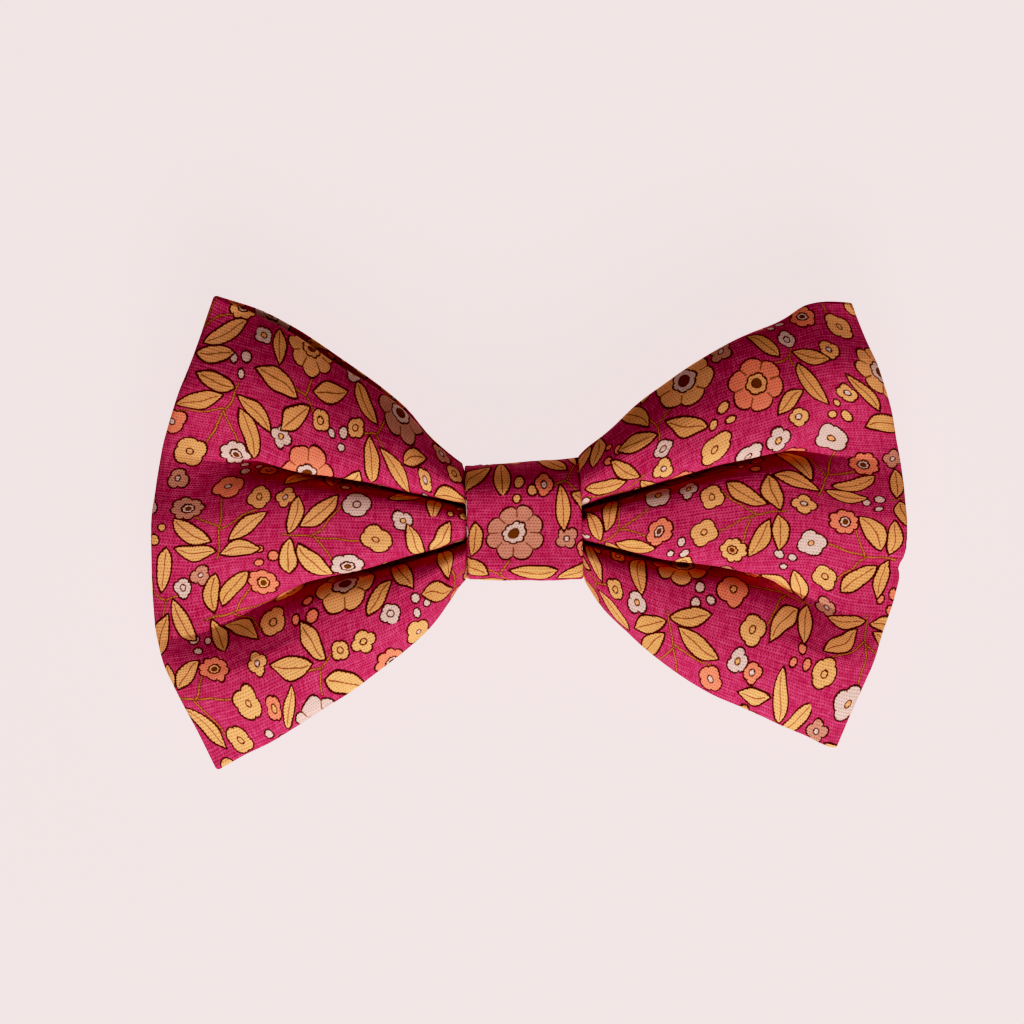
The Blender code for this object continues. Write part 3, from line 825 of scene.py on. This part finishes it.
def length_round(path):
    """How far round a closed path each point lies and, last of all, the whole way round."""
    return np.concatenate([[0], np.cumsum(np.linalg.norm(np.roll(path, -1, axis=0) - path, axis=1))])


path, path_out = rounded_path(BAND_HALF_HEIGHT, BAND_HALF_DEPTH, BAND_ROUNDS, 8, 40)
# The strip starts and ends at the seam in the lower part of the band's back
seam_point = int(np.argmin(np.hypot(path[:, 0] - SEAM_UP, path[:, 1] + BAND_HALF_DEPTH)))
path, path_out = np.roll(path, -seam_point, axis=0), np.roll(path_out, -seam_point, axis=0)
path_length = length_round(path)
# Across the strip as (share of its half width, turn round its side): outer face, side, inner face, side
side_turns = [math.radians(turn) for turn in (30, 60, 90, 120, 150)]
band_section = [(share, 0.0) for share in np.linspace(-1, 1, 25)] + [(1.0, turn) for turn in side_turns]
band_section += [(share, math.pi) for share in np.linspace(1, -1, 9)] + [(-1.0, turn) for turn in side_turns[::-1]]
band_points, band_places = [], []
for (up, front), (out_up, out_front), length in zip(path, path_out, path_length):
    left, right = (-band_side(-1, up), band_side(1, up)) if front >= 0 else (-HALF_BAND, HALF_BAND)
    middle, half = (left + right) / 2, (right - left) / 2
    off_seam = min(length, path_length[-1] - length)
    fall = (TOP_ROLL * max(up - ROLL_FROM, 0.0) ** 2 + BOTTOM_FALL * max(ROLL_FROM - up, 0.0)) * (front > 0)
    for share, turn in band_section:
        x = middle + share * (half - BAND_CLOTH / 2 + BAND_CLOTH / 2 * math.sin(turn))
        inward = BAND_CLOTH / 2 * (1 - math.cos(turn)) + BAND_CROWN * share ** 4 * (1 - turn / math.pi)
        if turn == 0:
            inward += SEAM_DEPTH * math.exp(-(off_seam / SEAM_WIDTH) ** 2)
        rise = TOP_SLANT * x + TOP_FLARE * (x / 9.0) ** 6 if up > 0 else BOTTOM_SLANT * x - BOTTOM_DROP
        lean = rise * abs(out_up)
        ripple = (noise.noise(Vector((x / 5.0, up / 4.0, 5.5 + front / 9.0))) * 0.16
                  + noise.noise(Vector((x / 1.6, up / 6.0, 9.5 + front / 9.0))) * 0.07)
        out = ripple - inward
        band_points.append((x, up + out_up * out + lean, front + out_front * out - fall))
        band_places.append((x + share * BAND_CLOTH / 2 * turn, length))
band_grid = (len(path), len(band_section), -1)
band_cloth = closed_cloth("band_cloth", np.array(band_points).reshape(band_grid),
                          np.array(band_places).reshape(band_grid), (0.0, path_length[-1]), (0, 3, 2, 1))
band_cloth.data.materials.append(printed_cotton("band_cotton", (61.0, 130.0)))
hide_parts("centre_band")
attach(band_cloth, "root")


# The loop that a collar slides through is one closed ring of flat ribbed elastic, dyed to match.
# It lies behind the band, and its front run is tacked to the band's back.
loop_low, loop_high = (np.array(corner) * 1000 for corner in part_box("collar_loop"))
ELASTIC_THICK, ELASTIC_RIBS = 1.2, 14
ELASTIC_WEAVE, ELASTIC_PICK = 16.0, 0.7      # the weave's own width and pick, in millimetres
loop_middle = (loop_low + loop_high) / 2
loop_half = (loop_high - loop_low) / 2


def strap_tree():
    """Sweeps a flat strap with soft sides and lengthwise ribs round a closed path."""
    tree, path, width, thickness, ribs, rib_relief, elastic = new_tree(
        "GeometryNodeTree", "ribbed_strap_on_a_path", Path="Geometry", Width=0.016, Thickness=0.0012, Ribs=14.0,
        Rib_relief=0.0001, Elastic="Material")
    outline = wired(tree, "GeometryNodeCurvePrimitiveQuadrilateral", {"Width": width, "Height": thickness})
    soft = wired(tree, "GeometryNodeFilletCurve", {
        "Curve": outline, "Radius": thickness * 0.45, "Limit Radius": True, "Count": 4}, mode="POLY")
    even = wired(tree, "GeometryNodeResampleCurve", {"Curve": soft, "Count": 176})
    x, y, _ = parts_of(wired(tree, "GeometryNodeInputPosition"))
    wave = maths("COSINE", x / width * (ribs * (2 * math.pi)))
    relief = (wave - 1.0) * rib_relief * maths("SIGN", y)
    ribbed = wired(tree, "GeometryNodeSetPosition", {"Geometry": even, "Offset": combined(None, relief)})
    swept = wired(tree, "GeometryNodeCurveToMesh", {"Curve": path, "Profile Curve": ribbed})
    real = wired(tree, "GeometryNodeRealizeInstances", [swept])
    return gives(tree, Strap=wired(tree, "GeometryNodeSetMaterial", {"Geometry": real, "Material": elastic}))


def made_by_nodes(name, base, tree, values):
    """The plain mesh that a geometry node tree makes from a base object."""
    modifier = base.modifiers.new("nodes", "NODES")
    modifier.node_group = tree
    for item in tree.interface.items_tree:
        if item.item_type == "SOCKET" and item.in_out == "INPUT" and item.name in values:
            modifier[item.identifier] = values[item.name]
    depsgraph = bpy.context.evaluated_depsgraph_get()
    mesh = bpy.data.meshes.new_from_object(
        base.evaluated_get(depsgraph), preserve_all_data_layers=True, depsgraph=depsgraph)
    mesh.name = name
    mesh.shade_smooth()
    bpy.data.objects.remove(base, do_unlink=True)
    return set_out(name, mesh)


def path_object(name, points, closed):
    """A line of straight runs through points, given in millimetres."""
    curve = bpy.data.curves.new(name, "CURVE")
    curve.dimensions = "3D"
    spline = curve.splines.new("POLY")
    spline.points.add(len(points) - 1)
    for target, point in zip(spline.points, points):
        target.co = (*(c / 1000 for c in point), 1.0)
    spline.use_cyclic_u = closed
    return set_out(name, curve)


def place_in_mm(tree):
    return wired(tree, "ShaderNodeTexCoord", (), "Object") * (1000.0, 1000.0, 1000.0)


def woven_elastic():
    """Ribbed elastic: fine picks between the ribs, unevenly dyed, with painted shade in the hollows between ribs
    and picks.
    """
    material, surface = new_surface("dyed_elastic")
    at = place_in_mm(material.node_tree)
    x, y, z = parts_of(at)
    around = y + z
    ribs = maths("COSINE", x * (2 * math.pi * 2 * ELASTIC_RIBS / ELASTIC_WEAVE))
    picks = maths("COSINE", around * (2 * math.pi / ELASTIC_PICK))
    height = maths("MULTIPLY_ADD", ribs * picks, 0.5, 0.5)
    speck = cloudy(at, 2.4, 3.0)
    # Painted shade: darker in the hollows between ribs and picks; the speck is uneven dye.
    groove_shade_and_fleck = maths("MULTIPLY_ADD", height, 0.5, speck * 0.6, use_clamp=True)
    finish(surface, blended(groove_shade_and_fleck, screen_colour(92, 8, 40), screen_colour(168, 28, 82)),
           maths("MULTIPLY_ADD", speck, 0.2, 0.62), height, 0.6, 0.0001, Specular_IOR_Level=0.3, Sheen_Weight=0.15)
    return material


elastic_bend = loop_half[2] - ELASTIC_THICK / 2
loop_path, _ = rounded_path(loop_half[1] - ELASTIC_THICK / 2, elastic_bend, (elastic_bend - 0.01,) * 4, 12, 12)
base = path_object("elastic_path", [loop_middle + (0.0, up, front) for up, front in loop_path], True)
elastic_strap = made_by_nodes("elastic_strap", base, strap_tree(), {
    "Width": 2 * loop_half[0] / 1000, "Thickness": ELASTIC_THICK / 1000, "Ribs": float(ELASTIC_RIBS),
    "Rib relief": 0.00006, "Elastic": woven_elastic()})
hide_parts("collar_loop")
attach(elastic_strap, "root")


# All hand sewing is in one doubled cotton thread: slip stitches close the band's back seam, and
# whip stitches over both edges of the elastic hold it to the band.
STITCH_RADIUS = 0.00013
THREAD_TWIST = 0.22          # millimetres along the thread for one turn


def stitch_tree():
    """Lays short bowed stitches at even steps along a line, each turned the same way."""
    tree, line, step, length, bow, radius, turn, thread = new_tree(
        "GeometryNodeTree", "stitches_on_a_line", Line="Geometry", Step=0.002, Length=0.0015, Bow=0.0002,
        Thread_radius=STITCH_RADIUS, Turn="Vector", Thread="Material")
    half = length * 0.5
    bowed = wired(tree, "GeometryNodeCurveQuadraticBezier", {
        "Resolution": 8, "Start": combined(half * -1.0), "Middle": combined(None, None, bow * 2.0),
        "End": combined(half)})
    round_thread = wired(tree, "GeometryNodeCurvePrimitiveCircle", {"Resolution": 8, "Radius": radius})
    stitch = wired(tree, "GeometryNodeCurveToMesh", {
        "Curve": bowed, "Profile Curve": round_thread, "Fill Caps": True})
    marks = wired(tree, "GeometryNodeCurveToPoints", {"Curve": line, "Length": step}, mode="LENGTH")
    rotation = wired(tree, "FunctionNodeEulerToRotation", {"Euler": turn})
    laid = wired(tree, "GeometryNodeInstanceOnPoints", {"Points": marks, "Instance": stitch, "Rotation": rotation})
    real = wired(tree, "GeometryNodeRealizeInstances", [laid])
    return gives(tree, Stitches=wired(tree, "GeometryNodeSetMaterial", {"Geometry": real, "Material": thread}))


def sewing_thread():
    """Twisted cotton thread with a little fuzz, and painted shade in the grooves of its twist."""
    material, surface = new_surface("sewing_thread")
    at = place_in_mm(material.node_tree)
    x, y, z = parts_of(at)
    twist = maths("MULTIPLY_ADD", maths("SINE", (x + (y + z)) * (2 * math.pi / THREAD_TWIST)), 0.5, 0.5)
    fuzz = cloudy(at, 6.0, 2.0)
    # Painted shade: darker in the grooves between the twist's turns; the fuzz varies the tone at random.
    groove_shade_and_fleck = maths("MULTIPLY_ADD", twist, 0.6, fuzz * 0.4, use_clamp=True)
    finish(surface, blended(groove_shade_and_fleck, screen_colour(104, 10, 44), screen_colour(196, 52, 100)),
           maths("MULTIPLY_ADD", fuzz, 0.2, 0.6), twist, 0.5, 0.00004, Specular_IOR_Level=0.25)
    return material


stitches, thread = stitch_tree(), sewing_thread()
seam_up, seam_out = SEAM_UP + BAND_MIDDLE[1] * 1000, BAND_MIDDLE[2] * 1000 - BAND_HALF_DEPTH + 0.02
# (name, the line's two ends, each stitch's turn, step, length and bow)
sewing = [("seam_slip_stitches", ((-7.4, seam_up, seam_out), (6.0, seam_up, seam_out)),
           (math.pi, 0.0, math.radians(24)), 0.0022, 0.0012, 0.00006)]
for name, side, x in (("left_whip_stitches", -1, loop_low[0] - 0.03),
                      ("right_whip_stitches", 1, loop_high[0] + 0.03)):
    sewing.append((name, [(x, loop_middle[1] + up, loop_high[2] - 0.35) for up in (-4.2, 4.2)],
                   (math.radians(-18) * side, math.radians(90) * side, 0.0), 0.0021, 0.0016, 0.00016))
for name, line, turn, step, length, bow in sewing:
    sewn = made_by_nodes(name, path_object(name + "_line", line, False), stitches, {
        "Step": step, "Length": length, "Bow": bow, "Turn": turn, "Thread radius": STITCH_RADIUS, "Thread": thread})
    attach(sewn, "root")
